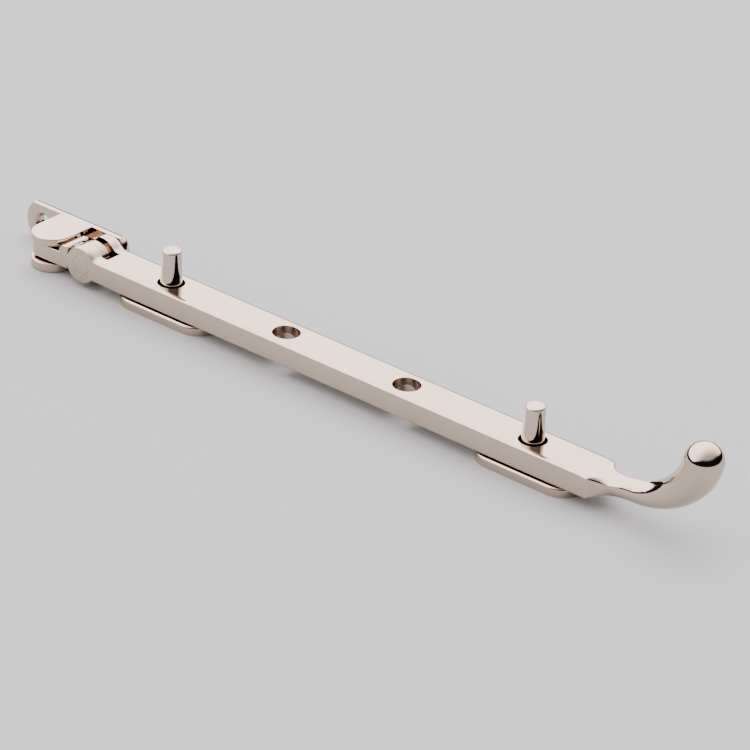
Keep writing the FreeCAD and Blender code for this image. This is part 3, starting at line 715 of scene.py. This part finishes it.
def makeLink():
    # Three slabs joined: the tongue, the shoulder and the eye. The eye's rings are
    # depth * clip(sharp * (cos(2 pi y / spacing) - 1) + 1, 0, 1).
    s = linkSizes
    bottom, top = s["bottom"], s["shoulderTop"]
    cx, cy = swivelAxis[0], (linkLow[1] + linkHigh[1]) / 2
    back, front = cx + s["shoulderBack"], cx + s["shoulderFront"]
    tip = math.degrees(math.asin(s["tongueHalf"] / s["tongueRadius"]))
    tongueLoop = np.vstack([
        arcPoints((cx, cy), s["tongueRadius"], 180 - tip, 180 + tip, 40),
        [[front, cy - s["tongueHalf"]], [front, cy + s["tongueHalf"]]],
    ])
    tongueEdge = roundedEdge(bottom, s["tongueTop"], s["underRound"], s["topRound"])
    link = slab("swivelLink", tongueLoop, tongueEdge, "xy")

    r, corner = s["shoulderRound"], s["frontRound"]
    shoulderLoop = np.vstack([
        [[back, bottom + overlap], [front - overlap, bottom + overlap]],
        arcPoints((front - overlap - corner, top - corner), corner, 0, 90, 5),
        arcPoints((back + r, top - r), r, 90, 180, 16),
    ])
    half = s["tongueHalf"] - overlap
    shoulderEdge = roundedEdge(cy - half, cy + half, s["shoulderEdge"], s["shoulderEdge"])
    shoulder = slab("shoulder", shoulderLoop, shoulderEdge, "xz")

    fx, fz, ring = forkAxis[0], forkAxis[2], s["eyeRadius"]
    under, over = bottom + s["eyeUnder"], top - s["eyeOver"]
    low = math.degrees(math.asin((under - fz) / ring))
    high = math.degrees(math.asin((over - fz) / ring))
    eyeLoop = np.vstack([
        [[front - s["eyeSink"], under]],
        arcPoints((fx, fz), ring, -180 - low, 180 - high, 110),
        [[front - s["eyeSink"], over]],
    ])
    heights = np.linspace(-1, 1, 61) * (s["eyeHalf"] - s["eyeEdge"])
    wave = np.cos(2 * np.pi * heights / s["grooveSpacing"])
    groove = s["grooveDepth"] * np.clip(wave * s["grooveSharp"] - (s["grooveSharp"] - 1), 0, 1)
    edge = roundedEdge(-s["eyeHalf"], s["eyeHalf"], s["eyeEdge"], s["eyeEdge"], s["eyeSteps"])
    nearEdge, farEdge = np.split(edge, 2)
    middle = np.column_stack([heights, groove])[1:-1]
    eye = slab("eye", eyeLoop, np.vstack([nearEdge, middle, farEdge]) + [cy, 0], "xz")

    combine(link, [shoulder, eye], "UNION")
    nearFace, farFace = cy - s["eyeHalf"], cy + s["eyeHalf"]
    bores = [
        rimmedCutter("eyeBore", s["eyeBore"], nearFace, farFace, s["boreRim"], forkAxis, "y"),
        rimmedCutter("tongueBore", s["tongueBore"], bottom, s["tongueTop"], s["boreRim"], swivelAxis),
    ]
    combine(link, bores, "DIFFERENCE")
    finishPiece(link, "link", "swivel_link", castingFinish)


makeLink()


# Sash bracket: a back plate with swelling ends and two leaves

bracketSizes = {
    "endRadius": 8.2, "thickness": 3.2, "frontRound": 0.25, "backRound": (1.7, 0.6, 0.4),
    "leafRadius": 7.3, "lowerLeaf": 3.4, "upperLeaf": 2.8,
    "leafTopRound": (0.45, 0.9, 0.1), "leafUnderRound": 0.6, "leafProud": 0.006,
    "screwSpacing": 31.0, "boreRadius": 2.51, "boreRim": 0.01,
}


def makeBracket():
    # The back plate and its two leaves, with two screw holes and the swivel pin's bore.
    s = bracketSizes
    low, high = bracketLow, bracketHigh
    cx, cy = swivelAxis[0], swivelAxis[1]
    middle = (low[2] + high[2]) / 2
    halfHigh = (high[2] - low[2]) / 2 - s["leafProud"]
    tip = math.degrees(math.asin(halfHigh / s["endRadius"]))
    plateLoop = np.vstack([
        arcPoints((high[0] - s["endRadius"], middle), s["endRadius"], -tip, tip, 40),
        arcPoints((low[0] + s["endRadius"], middle), s["endRadius"], 180 - tip, 180 + tip, 40),
    ])
    front, back = high[1] - s["thickness"], high[1]
    plateEdge = roundedEdge(front, back, s["frontRound"], s["backRound"], 8)
    bracket = slab("sashBracket", plateLoop, plateEdge, "xz")
    leafBack = back - s["backRound"][0] - s["leafTopRound"][1]
    leafLoop = np.vstack([
        arcPoints((cx, cy), s["leafRadius"], 180, 360, 72),
        [[cx + s["leafRadius"], leafBack], [cx - s["leafRadius"], leafBack]],
    ])
    leaves = []
    for bottom, top in ((low[2], low[2] + s["lowerLeaf"]), (high[2] - s["upperLeaf"], high[2])):
        edge = roundedEdge(bottom, top, s["leafUnderRound"], s["leafTopRound"], 8)
        leaves.append(slab("leaf", leafLoop, edge, "xy"))
    combine(bracket, leaves, "UNION")
    cutters = [screwCutter(cx + side * s["screwSpacing"] / 2, 0, middle, front, s["thickness"], "y")
               for side in (-1, 1)]
    cutters.append(rimmedCutter("swivelBore", s["boreRadius"], low[2], high[2], s["boreRim"], swivelAxis))
    combine(bracket, cutters, "DIFFERENCE")
    finishPiece(bracket, "bracket", "sash_bracket", castingFinish)


makeBracket()
print("pieces ready")


# Floor, light and camera

studio = {
    "floorSize": 6.0, "floorTint": (0.40, 0.415, 0.43), "floorRough": 0.85, "floorShine": 0.2,
    "farSky": 5.0, "nearSky": 1.0, "dark": 0.015, "darkSide": -20.0, "skyTint": (1.0, 0.92, 0.90),
    "farDarkTop": 0.15, "farBright": 0.22, "nearDarkTop": 0.48, "nearBright": 0.70,
    "bandRange": (-0.1, 0.6), "skyRange": (-0.35, 0.5),
    "lampPlace": (-0.5, 1.0, 1.5), "lampAim": (0.08, 0.0, 0.0), "lampSize": (1.6, 1.2), "lampPower": 12.0,
    "aim": (0.0871, 0.0, 0.01005), "distance": 1.188, "azimuth": 37.77, "elevation": 28.13, "roll": 3.43,
    "lens": 179.8,
}


def makeFloor():
    # A pale square sheet under the lowest point.
    size = studio["floorSize"] / 2
    mesh = bpy.data.meshes.new("floor")
    z = cadBox[0][2]
    corners = [(-size, -size, z), (size, -size, z), (size, size, z), (-size, size, z)]
    mesh.from_pydata(corners, [], [(0, 1, 2, 3)])
    floor = bpy.data.objects.new("floor", mesh)
    bpy.context.scene.collection.objects.link(floor)
    material = bpy.data.materials.new("paleFloor")
    material.use_nodes = True
    shader = material.node_tree.nodes["Principled BSDF"]
    shader.inputs["Base Color"].default_value = (*studio["floorTint"], 1)
    shader.inputs["Roughness"].default_value = studio["floorRough"]
    shader.inputs["Specular IOR Level"].default_value = studio["floorShine"]
    mesh.materials.append(material)


def makeSky():
    # A studio seen in the metal: a bright wall and ceiling behind, dimmer over the viewer, and a dark
    # band above the horizon that is thin behind the object and high on the viewer's right.
    world = bpy.data.worlds.new("studioTent")
    bpy.context.scene.world = world
    world.use_nodes = True
    tree = world.node_tree
    tree.nodes.clear()
    coords = tree.nodes.new("ShaderNodeTexCoord")
    split = tree.nodes.new("ShaderNodeSeparateXYZ")
    tree.links.new(coords.outputs["Generated"], split.inputs[0])
    toDark = tree.nodes.new("ShaderNodeVectorMath")
    toDark.operation = "DOT_PRODUCT"
    turn = math.radians(studio["darkSide"])
    toDark.inputs[1].default_value = (math.cos(turn), math.sin(turn), 0)
    tree.links.new(coords.outputs["Generated"], toDark.inputs[0])
    side = toDark.outputs["Value"]
    darkTop = rangeNode(tree, side, *studio["bandRange"], studio["farDarkTop"], studio["nearDarkTop"])
    brightFrom = rangeNode(tree, side, *studio["bandRange"], studio["farBright"], studio["nearBright"])
    level = rangeNode(tree, side, *studio["skyRange"], studio["farSky"], studio["nearSky"])
    glow = rangeNode(tree, split.outputs["Z"], darkTop, brightFrom, studio["dark"], level)
    tent = tree.nodes.new("ShaderNodeBackground")
    tent.inputs["Color"].default_value = (*studio["skyTint"], 1)
    tree.links.new(glow, tent.inputs["Strength"])
    output = tree.nodes.new("ShaderNodeOutputWorld")
    tree.links.new(tent.outputs[0], output.inputs["Surface"])


def makeLamp():
    # A soft box above and behind the sash side, turned to the middle of the arm.
    data = bpy.data.lights.new("backSoftbox", "AREA")
    data.shape = "RECTANGLE"
    data.size, data.size_y = studio["lampSize"]
    data.energy = studio["lampPower"]
    lamp = bpy.data.objects.new("backSoftbox", data)
    bpy.context.scene.collection.objects.link(lamp)
    lamp.visible_glossy = False  # it lights the floor, and the metal mirrors the tent instead
    lamp.location = studio["lampPlace"]
    towards = Vector(studio["lampAim"]) - Vector(studio["lampPlace"])
    lamp.rotation_euler = towards.to_track_quat("-Z", "Y").to_euler()


def makeCamera():
    # The camera looks back along (sin azimuth cos elevation, -cos azimuth cos elevation, sin elevation).
    azimuth, elevation, roll = (math.radians(studio[key]) for key in ("azimuth", "elevation", "roll"))
    back = Vector((math.sin(azimuth) * math.cos(elevation), -math.cos(azimuth) * math.cos(elevation),
                   math.sin(elevation)))
    right = Vector((math.cos(azimuth), math.sin(azimuth), 0))
    up = back.cross(right)
    turnedRight = right * math.cos(roll) + up * math.sin(roll)
    turnedUp = up * math.cos(roll) - right * math.sin(roll)
    camera = bpy.data.objects.new("camera", bpy.data.cameras.new("camera"))
    bpy.context.scene.collection.objects.link(camera)
    camera.data.lens = studio["lens"]
    camera.data.sensor_width = 36.0
    camera.data.clip_start = 0.01
    placed = Matrix((turnedRight, turnedUp, back)).transposed().to_4x4()
    placed.translation = Vector(studio["aim"]) + back * studio["distance"]
    camera.matrix_world = placed
    bpy.context.scene.camera = camera


makeFloor()
makeSky()
makeLamp()
makeCamera()
print("stage ready")
